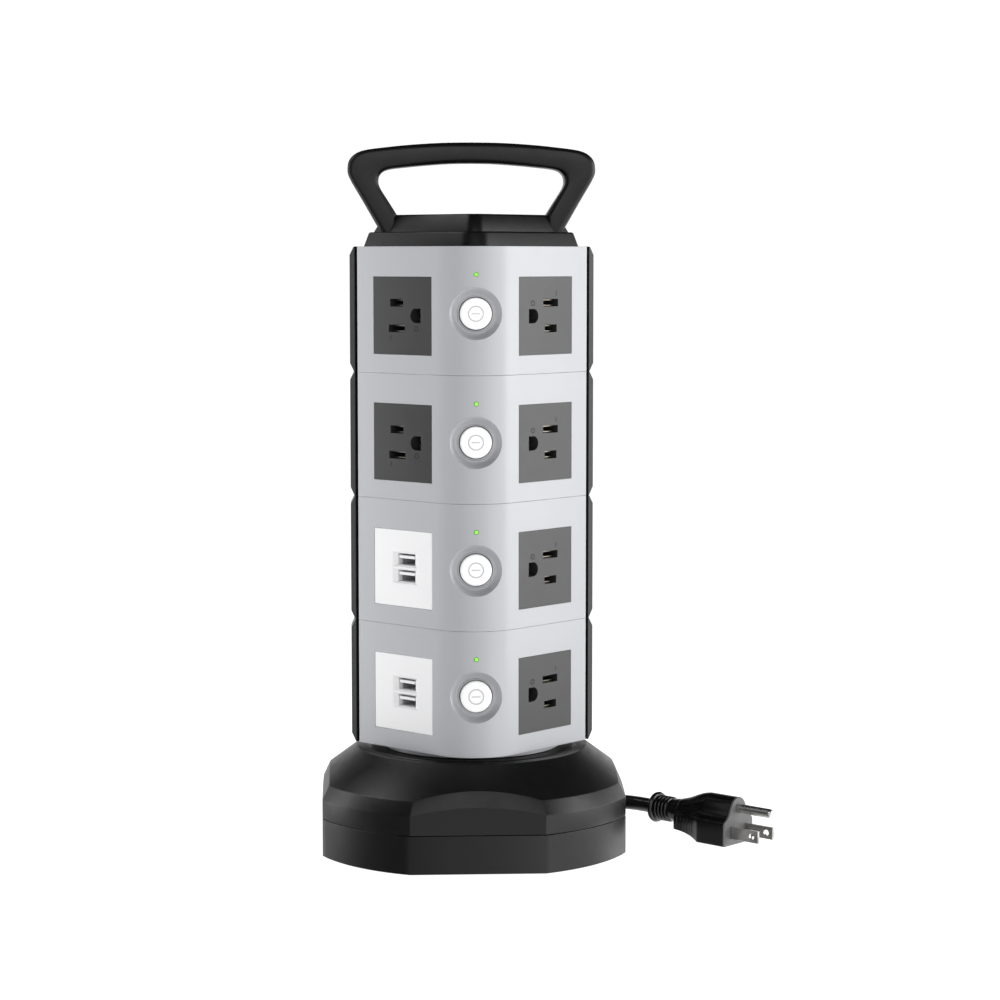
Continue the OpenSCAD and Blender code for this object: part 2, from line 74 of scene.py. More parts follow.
def make_camera():
    """The camera at the photo's angle."""
    data = bpy.data.cameras.new("camera")
    data.lens = LENS_MM
    data.sensor_width = SENSOR_MM
    data.clip_start = 0.01
    camera = add("camera", data)
    place = Vector(CAMERA_PLACE)
    look(camera, place, place + Vector(CAMERA_AIM))
    bpy.context.scene.camera = camera


# ---------- materials ----------

EDGE_RADIUS = 0.0005


class Nodes:
    """A short way to add nodes to one material."""

    def __init__(self, name):
        self.material = bpy.data.materials.new(name)
        self.material.use_nodes = True
        self.tree = self.material.node_tree
        self.shader = self.tree.nodes["Principled BSDF"]
        self.coord = self.tree.nodes.new("ShaderNodeTexCoord").outputs["Object"]

    def new(self, kind, links=None, **values):
        node = self.tree.nodes.new("ShaderNode" + kind)
        for key, value in values.items():
            if hasattr(node, key):
                setattr(node, key, value)
            else:
                node.inputs[key.replace("_", " ")].default_value = value
        for key, output in (links or {}).items():
            self.tree.links.new(output, node.inputs[key])
        return node

    def link(self, output, socket):
        self.tree.links.new(output, self.shader.inputs[socket])

    def noise(self, scale, detail=3.0, vector=None):
        return self.new("TexNoise", {"Vector": vector or self.coord}, Scale=scale, Detail=detail,
                        Roughness=0.55).outputs["Fac"]

    def ramp(self, value, low, high, out_low=0.0, out_high=1.0):
        return self.new("MapRange", {"Value": value}, From_Min=low, From_Max=high, To_Min=out_low,
                        To_Max=out_high).outputs["Result"]

    def times(self, a, b):
        return self.new("Math", {0: a, 1: b}, operation="MULTIPLY").outputs["Value"]

    def mix(self, factor, a, b):
        """Mixes two colours by a factor. Either may be a plain colour or an output."""
        node = self.tree.nodes.new("ShaderNodeMix")
        node.data_type = "RGBA"
        self.tree.links.new(factor, node.inputs[0])
        for value, socket in ((a, node.inputs[6]), (b, node.inputs[7])):
            if isinstance(value, tuple):
                socket.default_value = (*value, 1)
            else:
                self.tree.links.new(value, socket)
        return node.outputs[2]

    def edges(self):
        """A mask that is 1 on outer and inner edges and 0 on flat areas."""
        soft = self.new("Bevel", samples=4, Radius=EDGE_RADIUS).outputs["Normal"]
        true = self.new("NewGeometry").outputs["True Normal"]
        dot = self.new("VectorMath", {0: soft, 1: true}, operation="DOT_PRODUCT").outputs["Value"]
        return self.ramp(dot, 0.97, 0.7)


def moulded(name, colour, rough, grain=1500, bump=0.12, patch=28, vary=0.12, edge_highlight_and_wear=0.35, highlight_and_worn_colour=None,
            metallic=0.0, specular=0.35, coat=0.0):
    """A moulded or painted surface: fine grain, slow changes of gloss, and edges lightened by a painted edge
    highlight, broken up by noise like wear.
    """
    n = Nodes(name)
    slow = n.noise(patch, 4)
    fine = n.noise(grain, 2)
    smudge = n.noise(patch * 7, 3)
    dark = tuple(c * (1 - vary) for c in colour)
    light = tuple(min(1, c * (1 + vary)) for c in colour)
    base = n.mix(n.ramp(slow, 0.3, 0.7), dark, light)
    # Painted edge highlight, partly wear: the edges turn towards a paler colour where the noise allows.
    highlight_and_wear_mask = n.times(n.edges(), n.ramp(smudge, 0.42, 0.62, 0, edge_highlight_and_wear))
    highlight_and_worn_colour = highlight_and_worn_colour or tuple(min(1, c * 1.5 + 0.02) for c in colour)
    n.link(n.mix(highlight_and_wear_mask, base, highlight_and_worn_colour), "Base Color")
    gloss = n.new("Math", {0: n.ramp(slow, 0.3, 0.7, rough - 0.04, rough + 0.04),
                           1: n.ramp(smudge, 0.3, 0.7, -0.03, 0.03)}, operation="ADD").outputs["Value"]
    n.link(gloss, "Roughness")
    n.link(n.new("Bump", {"Height": fine}, Strength=bump, Distance=0.0002).outputs["Normal"], "Normal")
    n.shader.inputs["Metallic"].default_value = metallic
    n.shader.inputs["Specular IOR Level"].default_value = specular
    n.shader.inputs["Coat Weight"].default_value = coat
    n.shader.inputs["Coat Roughness"].default_value = 0.12
    return n.material


def brushed_metal(name, colour, rough=0.25, flow=(1, 1, 12), tarnish=None):
    """Plated or plain metal with fine scratches along one direction and a faint tarnish."""
    n = Nodes(name)
    stretched = n.new("Mapping", {"Vector": n.coord}, Scale=flow).outputs["Vector"]
    lines = n.noise(900, 3, vector=stretched)
    cloud = n.noise(130, 4)
    tarnish = tarnish or tuple(c * 0.72 for c in colour)
    tone = n.mix(n.ramp(cloud, 0.35, 0.75), colour, tarnish)
    n.link(tone, "Base Color")
    n.link(n.ramp(lines, 0.2, 0.8, rough - 0.08, rough + 0.1), "Roughness")
    n.link(n.new("Bump", {"Height": lines}, Strength=0.15, Distance=0.0001).outputs["Normal"], "Normal")
    n.shader.inputs["Metallic"].default_value = 1
    return n.material


def lens_green(name):
    """A lit indicator lens."""
    material = moulded(name, (0.18, 0.75, 0.03), 0.2, grain=3000, bump=0.05, edge_highlight_and_wear=0, specular=0.5)
    shader = material.node_tree.nodes["Principled BSDF"]
    shader.inputs["Emission Color"].default_value = (0.36, 1.0, 0.07, 1)
    shader.inputs["Emission Strength"].default_value = 0.55
    return material


def circuit_green(name):
    """A circuit board with paler tracks."""
    n = Nodes(name)
    tracks = n.new("TexBrick", {"Vector": n.coord}, Scale=160, Mortar_Size=0.06,
                   Color1=(0.02, 0.12, 0.04, 1), Color2=(0.03, 0.16, 0.06, 1),
                   Mortar=(0.09, 0.26, 0.12, 1))
    n.link(tracks.outputs["Color"], "Base Color")
    n.link(n.ramp(n.noise(300), 0.3, 0.7, 0.3, 0.45), "Roughness")
    n.link(n.new("Bump", {"Height": tracks.outputs["Fac"]}, Strength=0.2, Distance=0.0001).outputs["Normal"],
           "Normal")
    return n.material


MATERIALS = {
    "base_black": moulded("base_black", (0.0025, 0.0025, 0.0026), 0.36, grain=1700, bump=0.12),
    "cap_black": moulded("cap_black", (0.0025, 0.0025, 0.0026), 0.36, grain=1700, bump=0.12, specular=0.26),
    "post_black": moulded("post_black", (0.004, 0.004, 0.0042), 0.38, grain=1700, bump=0.14),
    "handle_black": moulded("handle_black", (0.004, 0.004, 0.004), 0.38, grain=1800, bump=0.10,
                            specular=0.28),
    # The silver shells carry a strong painted edge highlight, pale grey at their edges.
    "shell_silver": moulded("shell_silver", (0.40, 0.405, 0.424), 0.36, grain=3600, bump=0.05, vary=0.015,
                            patch=9, edge_highlight_and_wear=0.5, highlight_and_worn_colour=(0.72, 0.72, 0.73), specular=0.5, coat=0.15),
    "outlet_grey": moulded("outlet_grey", (0.024, 0.024, 0.025), 0.34, grain=2200, bump=0.12, vary=0.06,
                           specular=0.42),
    "usb_white": moulded("usb_white", (0.78, 0.78, 0.79), 0.34, grain=2400, bump=0.05, vary=0.012, edge_highlight_and_wear=0.0,
                         specular=0.5),
    "button_white": moulded("button_white", (0.93, 0.93, 0.93), 0.3, grain=2400, bump=0.03, vary=0.01,
                            edge_highlight_and_wear=0.0, specular=0.5, coat=0.2),
    "mark_grey": moulded("mark_grey", (0.5, 0.5, 0.51), 0.45, grain=2600, bump=0.05, edge_highlight_and_wear=0.0),
    "mark_dark": moulded("mark_dark", (0.008, 0.008, 0.008), 0.5, grain=2600, bump=0.05, edge_highlight_and_wear=0.0),
    "bezel_silver": moulded("bezel_silver", (0.41, 0.415, 0.43), 0.38, grain=4000, bump=0.02, vary=0.01,
                            edge_highlight_and_wear=0.0, metallic=0.1, specular=0.5),
    "led_green": lens_green("led_green"),
    # Painted shade: a dark green, unlit band round the edge of each indicator's dome.
    "led_rim_painted_shade": moulded("led_rim_painted_shade", (0.05, 0.30, 0.01), 0.3, grain=3000, bump=0.05, edge_highlight_and_wear=0.0, specular=0.5),
    "bearing_white": moulded("bearing_white", (0.72, 0.71, 0.67), 0.4, grain=1500, edge_highlight_and_wear=0.1),
    "rubber_black": moulded("rubber_black", (0.012, 0.012, 0.012), 0.7, grain=900, bump=0.3),
    "cord_black": moulded("cord_black", (0.006, 0.006, 0.006), 0.24, grain=700, bump=0.10, specular=0.5,
                          coat=0.25, edge_highlight_and_wear=0.2),
    "plug_black": moulded("plug_black", (0.004, 0.004, 0.004), 0.24, grain=900, bump=0.12, specular=0.38,
                          coat=0.2),
    "plug_grey": moulded("plug_grey", (0.13, 0.13, 0.13), 0.4, grain=1500, bump=0.10, vary=0.05),
    "prong_nickel": brushed_metal("prong_nickel", (0.76, 0.75, 0.73), 0.26, flow=(8, 1, 1),
                                  tarnish=(0.28, 0.27, 0.26)),
    "contact_brass": brushed_metal("contact_brass", (0.22, 0.20, 0.17), 0.34, tarnish=(0.10, 0.09, 0.07)),
    "screw_steel": brushed_metal("screw_steel", (0.62, 0.62, 0.63), 0.32),
    "usb_steel": moulded("usb_steel", (0.55, 0.55, 0.56), 0.42, grain=1200, bump=0.1, vary=0.06, edge_highlight_and_wear=0.0,
                         metallic=0.35, specular=0.5),
    "board_green": circuit_green("board_green"),
    "drum_grey": moulded("drum_grey", (0.24, 0.24, 0.25), 0.45, grain=1300, vary=0.05),
}


# ---------- mesh helpers ----------

def mesh_object(name, verts, faces, sharp=32):
    """A smooth-shaded mesh from points in millimetres, with edges over the sharp angle kept crisp."""
    mesh = bpy.data.meshes.new(name)
    mesh.from_pydata([Vector(v) * MM for v in verts], [], faces)
    work = bmesh.new()
    work.from_mesh(mesh)
    bmesh.ops.recalc_face_normals(work, faces=work.faces)
    work.to_mesh(mesh)
    work.free()
    shade(mesh, sharp)
    return add(name, mesh)


def shade(mesh, sharp):
    for face in mesh.polygons:
        face.use_smooth = True
    mesh.set_sharp_from_angle(angle=math.radians(sharp))


def skin(rings, wrap=False):
    """Faces over closed rings that all have as many points, closed at both ends or wrapped to the first."""
    n, count = len(rings[0]), len(rings)
    verts = [p for ring in rings for p in ring]
    faces = []
    for i in range(count if wrap else count - 1):
        a, b = i * n, (i + 1) % count * n
        faces += [(a + j, a + (j + 1) % n, b + (j + 1) % n, b + j) for j in range(n)]
    if not wrap:
        faces.append(tuple(reversed(range(n))))
        faces.append(tuple(range((count - 1) * n, count * n)))
    return verts, faces


def joined(parts):
    """One list of points and one of faces from several."""
    verts, faces = [], []
    for part_verts, part_faces in parts:
        faces += [tuple(i + len(verts) for i in face) for face in part_faces]
        verts += part_verts
    return verts, faces


def circle(r, steps):
    """Points of a circle about the origin."""
    return [(r * math.cos(t), r * math.sin(t)) for t in (2 * math.pi * i / steps for i in range(steps))]


def quarter(cx, cy, r, start, steps):
    """Points of a quarter circle from a start in degrees."""
    turns = (math.radians(start + 90 * i / steps) for i in range(steps + 1))
    return [(cx + r * math.cos(t), cy + r * math.sin(t)) for t in turns]


def apply(obj, kind, **values):
    """Adds a modifier and applies it."""
    modifier = obj.modifiers.new(kind.lower(), kind)
    for key, value in values.items():
        setattr(modifier, key, value)
    bpy.context.view_layer.update()
    result = bpy.data.meshes.new_from_object(obj.evaluated_get(bpy.context.evaluated_depsgraph_get()))
    obj.modifiers.remove(modifier)
    obj.data = result


def piece(obj, slot, body, *replaced, material=None):
    """Gives a mesh the material of its slot, or the one named, hangs it on its body, and hides the CAD nodes
    that it replaces.
    """
    obj.data.materials.clear()
    obj.data.materials.append(MATERIALS[material or slot])
    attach(obj, body)
    if replaced:
        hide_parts(*replaced)
    return obj


def catmull(points, steps):
    """A smooth line through points, which keeps its end directions."""
    pts = [Vector(p) for p in points]
    pts = [2 * pts[0] - pts[1], *pts, 2 * pts[-1] - pts[-2]]
    line = []
    for a, b, c, d in zip(pts, pts[1:], pts[2:], pts[3:]):
        for i in range(steps):
            t = i / steps
            line.append(0.5 * (2 * b + (c - a) * t + (2 * a - 5 * b + 4 * c - d) * t * t
                               + (3 * b - a - 3 * c + d) * t ** 3))
    line.append(pts[-2])
    return line


# ---------- cord ----------

CORD_R = 3.8
CORD_ROUTE = [(-23.5, 44.5), (-12, 54), (0, 63.5), (11.5, 73), (20, 80), (26.5, 84.5), (31.5, 87), (37, 88.5),
              (42.5, 89), (51.5, 89), (60, 89)]
COIL_ROWS = (11.8, 19.4, 27.0)
COIL_COLUMNS = (41.8, 49.4)
COIL_END = 129.2        # the angle in degrees at which the cord leaves the coil
TURN_STEPS = 72
JOG = 0.34        # the share of a turn in which the cord moves over to the next lane


def smooth_step(t):
    t = min(1, max(0, t))
    return t * t * (3 - 2 * t)


def coil_points():
    """The stored turns: up the inner column, then down the outer one, clockwise from above."""
    lanes = [(COIL_COLUMNS[0], z) for z in COIL_ROWS] + [(COIL_COLUMNS[1], z) for z in reversed(COIL_ROWS)]
    turns = len(lanes)
    end = math.radians(COIL_END)
    points = []
    for i in range(turns * TURN_STEPS + 1):
        t = i / TURN_STEPS
        k = min(int(t), turns - 1)
        nxt = lanes[min(k + 1, turns - 1)]
        blend = smooth_step((t - k - (1 - JOG)) / JOG) if k < turns - 1 else 0
        r = lanes[k][0] + (nxt[0] - lanes[k][0]) * blend
        z = lanes[k][1] + (nxt[1] - lanes[k][1]) * blend
        angle = end + (turns - t) * 2 * math.pi
        points.append((r * math.cos(angle), r * math.sin(angle), z))
    return points


def make_cord():
    """The whole mains cord: its coil on the drum, and the run through the bush into the plug."""
    run = [(p.x, p.y, COIL_ROWS[0]) for p in catmull(CORD_ROUTE, 6)]
    points = coil_points() + run
    data = bpy.data.curves.new("mains_cord", "CURVE")
    data.dimensions = "3D"
    data.bevel_depth = CORD_R * MM
    data.bevel_resolution = 5
    data.use_fill_caps = True
    spline = data.splines.new("POLY")
    spline.points.add(len(points) - 1)
    for point, place in zip(spline.points, points):
        point.co = (*(Vector(place) * MM), 1)
    spline.use_smooth = True
    cord = piece(add("mains_cord", data), "cord_black", "base", "cord_coil", "cord_run")
    return cord, Vector(points[0]) * MM


# ---------- base ----------

FLAT_LOW, FLAT_HIGH = 77.2, 73.7
ROUND_LOW, ROUND_HIGH = 84.2, 80.5
SEAM_Z, DECK_Z = 20.15, 52.3
BAND_TOP = 41.9        # height of the band's upper edge at the middle of a flat
DOME_SLOPE = 0.74
BASE_T = 2.5        # wall


def base_angles():
    """Angles round the base, each with the middle angle of its flat, or with None on a round side."""
    half = math.acos(FLAT_LOW / ROUND_LOW)
    angles = []
    for q in range(4):
        middle = math.pi / 4 + q * math.pi / 2
        angles += [(middle - half + 2 * half * i / 20, middle) for i in range(20)]
        gap = math.pi / 2 - 2 * half
        angles += [(middle + half + gap * i / 18, None) for i in range(18)]
    return angles


def base_section(angle, middle):
    """One radial cut of the upper shell: radius and height, from the seam outside to the seam inside."""
    low, high = ROUND_LOW, ROUND_HIGH
    if middle is not None:
        low = min(low, FLAT_LOW / math.cos(angle - middle))
        high = min(high, FLAT_HIGH / math.cos(angle - middle))
    band_low = 30 + 0.571 * (ROUND_LOW - low)
    band_high = BAND_TOP - DOME_SLOPE * (high - FLAT_HIGH)
    crown = FLAT_HIGH - (DECK_Z - BAND_TOP) / DOME_SLOPE
    outer = [(low - 0.35, SEAM_Z + 0.05), (low, SEAM_Z + 0.4), (low, band_low), (high, band_high)]
    outer += [((high + crown) / 2, (band_high + DECK_Z) / 2), (crown, DECK_Z), (54.2, DECK_Z),
              (53.8, DECK_Z - 0.5), (53.0, DECK_Z - 0.5), (52.6, DECK_Z), (30.5, DECK_Z),
              (30.1, DECK_Z - 0.4)]
    inner = [(30.1, DECK_Z - 2.6), (crown - 1.6, DECK_Z - BASE_T), (high - BASE_T, band_high - 0.8),
             (low - BASE_T, band_low - 0.3), (low - BASE_T, SEAM_Z + 0.05)]
    return outer + inner


def upper_base():
    """The low dome with its bevelled band."""
    rings = []
    for angle, middle in base_angles():
        section = base_section(angle, middle)
        rings.append([(r * math.cos(angle), r * math.sin(angle), z) for r, z in section])
    shell = mesh_object("upper_base", *skin(rings, wrap=True), sharp=60)
    apply(shell, "BEVEL", width=0.55 * MM, segments=3, limit_method="ANGLE", angle_limit=math.radians(14),
          use_clamp_overlap=True)
    shade(shell.data, 40)
    piece(shell, "base_black", "base", "base_upper_shell")


# ---------- cap ----------

CORNERS = ((1, 1, 0), (-1, 1, 90), (-1, -1, 180), (1, -1, 270))        # signs, and where its quarter starts
CORNER_STEPS = 10


def square_ring(w, r, z):
    """A ring of a square with half width w. Two corners have radius r and the handle's two a small one."""
    ring = []
    for sx, sy, start in CORNERS:
        cr = 1.0 if sx == sy else r
        ring += [(x, y, z) for x, y in quarter(sx * (w - cr), sy * (w - cr), cr, start, CORNER_STEPS)]
    return ring


def lid_ring(z):
    """The tower's inner outline, cut off at the two posts."""
    edge, r, cut = 46.5, 24.5, 52.3 * math.sqrt(2)
    ring = []
    for sx, sy, start in CORNERS:
        if sx == sy:
            corner = [(sx * edge, sy * (cut - edge)), (sx * (cut - edge), sy * edge)]
        else:
            corner = quarter(sx * (edge - r), sy * (edge - r), r, start, CORNER_STEPS)
        ring += [(x, y, z) for x, y in corner]
    return ring


LID_T = 1.5


def cap():
    """The two-tiered cap with a groove between its tiers, and the flange that closes the tower."""
    low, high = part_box("top_cap")
    top = high.z / MM
    foot = low.z / MM + LID_T
    step = foot + 7.3
    profile = [(39.1, 10.5, foot), (37.4, 10.0, step - 0.9), (37.2, 9.9, step - 0.45),
               (36.85, 9.7, step - 0.12), (36.3, 9.4, step), (35.8, 7.9, step - 0.7), (35.5, 6.5, step - 0.7),
               (35.4, 6.5, step + 0.1), (32.2, 5.8, top - 1.0), (31.95, 5.7, top - 0.5),
               (31.6, 5.5, top - 0.14), (31.2, 5.3, top)]
    rings = [square_ring(w, r, z) for w, r, z in profile]
    lid = [lid_ring(foot - LID_T), lid_ring(foot)]
    cover = mesh_object("stepped_cap", *joined([skin(rings), skin(lid)]), sharp=25)
    piece(cover, "base_black", "tower", "top_cap", material="cap_black")


# ---------- handle ----------

# Half of the handle's outside and inside: x, and height over a level HANDLE_RISE below its top
HANDLE_RISE = 52.6
HANDLE_OUTER = ((-48.4, 10.9), (-55.2, 22.8), (-61.8, 34.2), (-63.0, 39.2), (-61.5, 44.5), (-55.6, 48.3),
                (-42, 50.3), (-28.3, 51.6), (-14, 52.4))
HANDLE_INNER = ((-38, 16), (-42.2, 22.7), (-46.4, 29.4), (-47.3, 33), (-46.2, 36.6), (-42.2, 38.9),
                (-32, 40.2), (-22.5, 41.1), (-11, 41.9), (0, 42.1))
HANDLE_HALF_T, HANDLE_R = 8, 3.0


def handle_lines():
    """Matching points along the outside and the inside of the handle, in its own plane."""
    low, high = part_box("handle")
    foot, top = low.z / MM, high.z / MM
    rise = top - HANDLE_RISE
    outer = [(-46, foot)] + [(x, rise + z) for x, z in HANDLE_OUTER] + [(0, top)]
    inner = [(-38, foot)] + [(x, rise + z) for x, z in HANDLE_INNER]
    lines = []
    for half in (outer, inner):
        points = [Vector((x, 0, z)) for x, z in half]
        line = points[:1] + catmull(points[1:], 6)
        line += [Vector((-p.x, 0, p.z)) for p in reversed(line[:-1])]
        lines.append(line)
    return lines


def rounded_section(a, b, half_t, r):
    """A rounded rectangle from point a to point b, as thick as 2 half_t across them."""
    along = b - a
    w = along.length
    along.normalize()
    across = Vector((0, 1, 0))
    far, side = w - r, half_t - r
    ring = []
    for cx, cy, start in ((far, side, 0), (r, side, 90), (r, -side, 180), (far, -side, 270)):
        ring += [a + along * x + across * y for x, y in quarter(cx, cy, r, start, 5)]
    return ring


def handle():
    """The carry handle over the cap, from post to post."""
    turn = Matrix.Rotation(math.radians(45), 3, "Z")
    outer, inner = handle_lines()
    rings = [[turn @ p for p in rounded_section(i, o, HANDLE_HALF_T, HANDLE_R)] for o, i in zip(outer, inner)]
    grip = mesh_object("carry_handle", *skin(rings), sharp=50)
    piece(grip, "handle_black", "tower", "handle")


# ---------- switches ----------

CORNER_C, CORNER_R = 22 * math.sqrt(2), 26.8


def at_corner(zc, a, b, d):
    """A point on the switch corner: a to the right, b up, and d away from the tower's axis."""
    s = math.sqrt(0.5)
    return (s * (d + a), s * (a - d), zc + b)


def corner_surface(a):
    """How far the rounded corner's surface is from the axis, a from its middle."""
    return CORNER_C + math.sqrt(CORNER_R ** 2 - a * a)


BEZEL_BACK, BEZEL_FLOOR = 46.1, 52.2
# Radius, and height above the shell or above the floor of the dish
BEZEL_RIM = ((12.9, -0.1), (13.2, -0.02), (13.16, 0.06), (12.95, 0.08), (12.84, -0.04))
BEZEL_LIP = ((9.15, 0), (9.0, 0.1), (8.95, 0.75), (8.8, 0.95), (8.5, 0.95), (8.35, 0.75))
DISH_STEPS = 8


def bezel_ring(zc, r, level):
    """A ring of radius r. level turns the surface's distance there into the ring's own."""
    return [at_corner(zc, a, b, level(corner_surface(a))) for a, b in circle(r, 96)]


def bezel(k, zc):
    """The dished ring round a button, with a thin rim on the shell and a raised lip."""
    r, lift = BEZEL_RIM[-1]
    fall = r - 9.6
    rings = [(12.9, lambda h: BEZEL_BACK)]
    rings += [(rim, lambda h, up=up: h + up) for rim, up in BEZEL_RIM]
    for i in range(1, DISH_STEPS + 1):
        t = i / DISH_STEPS
        rings.append((r - fall * t, lambda h, t=t: BEZEL_FLOOR + (h - BEZEL_FLOOR + lift) * (1 - t) ** 1.9))
    rings += [(lip, lambda h, up=up: BEZEL_FLOOR + up) for lip, up in BEZEL_LIP]
    rings.append((8.3, lambda h: BEZEL_BACK))
    rings = [bezel_ring(zc, radius, level) for radius, level in rings]
    dish = mesh_object(f"dished_bezel_{k}", *skin(rings, wrap=True), sharp=75)
    piece(dish, "bezel_silver", "tower", f"bezel_{k}")


BUTTON_REACH = 54.9        # from the tower's axis to the button's top
BUTTON_STEPS = 72
BUTTON_MARK_ROWS = (9, 10, 11)        # the profile's rows that form the sunk ring


def button(k, zc):
    """A push button with a crowned top that carries a sunk ring and a bar."""
    reach = BUTTON_REACH
    profile = [(2.5, reach - 12), (2.5, reach - 6), (7.5, reach - 6), (7.9, reach - 5.6), (7.9, reach - 0.9),
               (7.8, reach - 0.55), (7.55, reach - 0.3), (7.1, reach - 0.18), (6.0, reach - 0.1),
               (3.98, reach - 0.04), (3.9, reach - 0.12), (3.42, reach - 0.12), (3.34, reach - 0.03),
               (2.6, reach - 0.01), (1.2, reach)]
    rings = [[at_corner(zc, a, b, d) for a, b in circle(r, BUTTON_STEPS)] for r, d in profile]
    bar = [[at_corner(zc, x, z, d) for x, z in rounded_bar(2.25, 0.26)] for d in (reach - 0.3, reach + 0.035)]
    knob = mesh_object(f"push_button_{k}", *joined([skin(rings), skin(bar)]), sharp=36)
    piece(knob, "button_white", f"button_{k}", f"button_{k}")
    knob.data.materials.append(MATERIALS["mark_grey"])
    first_of_bar = skin_size(profile, BUTTON_STEPS)
    for face in knob.data.polygons:
        if face.index >= first_of_bar or face.index // BUTTON_STEPS in BUTTON_MARK_ROWS:
            face.material_index = 1


def skin_size(profile, steps):
    """How many faces skin makes of a round profile, with its two ends."""
    return steps * (len(profile) - 1) + 2


def rounded_bar(half, r, steps=6):
    """The outline of a bar with round ends."""
    points = []
    for side in (1, -1):
        for i in range(steps + 1):
            t = -math.pi / 2 + math.pi * i / steps
            points.append((side * (half - r) + side * r * math.cos(t), side * r * math.sin(t)))
    return points


LENS_LIFT = 19.25        # from the button's middle up to its indicator
LENS_STEPS = 24
# The rows at the dome's edge that carry the painted shade.
LENS_SHADED_ROWS = (3, 4)
# Radius, and distance from the shell's surface
LENS_PROFILE = ((1.8, -5.9), (1.8, -4), (1.1, -4), (1.1, -0.1), (1.0, 0.08), (0.8, 0.17), (0.5, 0.24),
                (0.2, 0.27))


def indicator(zc):
    """An indicator's domed lens, wider behind the shell."""
    d0 = corner_surface(0)
    return skin([[at_corner(zc, a, b, d0 + d) for a, b in circle(r, LENS_STEPS)] for r, d in LENS_PROFILE])


def switches():
    """The bezel, button and indicator of every layer."""
    lenses = []
    for k in LAYERS:
        low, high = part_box(f"button_{k}")
        zc = (low.z + high.z) / 2 / MM
        bezel(k, zc)
        button(k, zc)
        lenses.append(indicator(zc + LENS_LIFT))
    lamps = mesh_object("indicator_lenses", *joined(lenses), sharp=50)
    piece(lamps, "led_green", "tower", "led_lenses")
    # The dome's edge rows get the painted shade material, darker than the lit centre.
    lamps.data.materials.append(MATERIALS["led_rim_painted_shade"])
    for face in lamps.data.polygons:
        if face.index % skin_size(LENS_PROFILE, LENS_STEPS) // LENS_STEPS in LENS_SHADED_ROWS:
            face.material_index = 1


# ---------- outlets ----------

FACE_D = 48.8        # from the tower's axis to a plate's face
FACE_SHIFT = 2        # from the middle of the tower's side to the plate's
RING_PLACE, DASH_PLACE = (9.7, -6.3), (-8.1, -11.1)


def on_face(side, k, x, depth, z):
    """A point of a plate's own frame: x along the face, depth inward, z up. Two sides are upside down."""
    low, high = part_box(f"usb_plate_{k}" if side == "front" and k in USB_LAYERS else f"outlet_{side}_{k}")
    mid = (low.z + high.z) / 2 / MM
    face = FACE_D - depth
    return {"front": (x - FACE_SHIFT, -face, mid + z), "right": (face, FACE_SHIFT - x, mid - z),
            "back": (FACE_SHIFT - x, face, mid + z), "left": (-face, x - FACE_SHIFT, mid - z)}[side]


def outlet_marks():
    """Small raised marks on each outlet: a ring by the ground hole and a dash by the wide slot."""
    (rx, rz), (dx, dz) = RING_PLACE, DASH_PLACE
    parts = []
    for side in SIDES:
        for k in LAYERS:
            if side == "front" and k in USB_LAYERS:
                continue
            rings = [[on_face(side, k, rx + a, d, rz + b) for a, b in circle(r, 20)]
                     for r, d in ((1.55, 0.2), (1.55, -0.04), (0.8, -0.04), (0.8, 0.2))]
            dash = [[on_face(side, k, dx + b, d, dz + a) for a, b in rounded_bar(1.2, 0.3)]
                    for d in (0.2, -0.05)]
            parts += [skin(rings, wrap=True), skin(dash)]
    marks = mesh_object("outlet_marks", *joined(parts))
    piece(marks, "outlet_grey", "tower", material="mark_dark")


# ---------- USB plates ----------

PORT_X, PORT_Z = 1.5, (4.5, -3.9)
PORT_CELLS = (5, 13)        # the cells of the lower and the upper port
PORT_STEPS = ((12.6, 6.2, 1.0), (12.0, 5.9, 1.2))        # width, height and depth inside a recess
PLATE_W, PLATE_H, PLATE_EDGE, PLATE_BACK = 40.2, 38.8, 0.25, 4.3
PLATE_RIM = (0, 1, 2, 3, 7, 11, 15, 19, 23, 22, 21, 20, 16, 12, 8, 4)
PLATE_INNER = (5, 6, 9, 10, 13, 14, 17, 18)


def plate_grid():
    """The flat of the plate's face as 4 by 6 points, row by row from the bottom."""
    xs = [-PLATE_W / 2 + PLATE_EDGE, PORT_X - 8.7, PORT_X + 8.7, PLATE_W / 2 - PLATE_EDGE]
    zs = [PLATE_EDGE - PLATE_H / 2, PORT_Z[1] - 3.8, PORT_Z[1] + 3.85, PORT_Z[0] - 3.85, PORT_Z[0] + 3.8,
          PLATE_H / 2 - PLATE_EDGE]
    return [(x, 0, z) for z in zs for x in xs]


def cell(a):
    """The corners of the grid's cell that starts at point a."""
    return [a, a + 1, a + 5, a + 4]


def rect_ring(w, h, x, z):
    return [(x - w / 2, z - h / 2), (x + w / 2, z - h / 2), (x + w / 2, z + h / 2), (x - w / 2, z + h / 2)]


def widened(value):
    """A coordinate moved out by the width of the rounded edge, where it is at the plate's border."""
    return value + math.copysign(PLATE_EDGE, value) * (abs(value) > PLATE_W / 3)


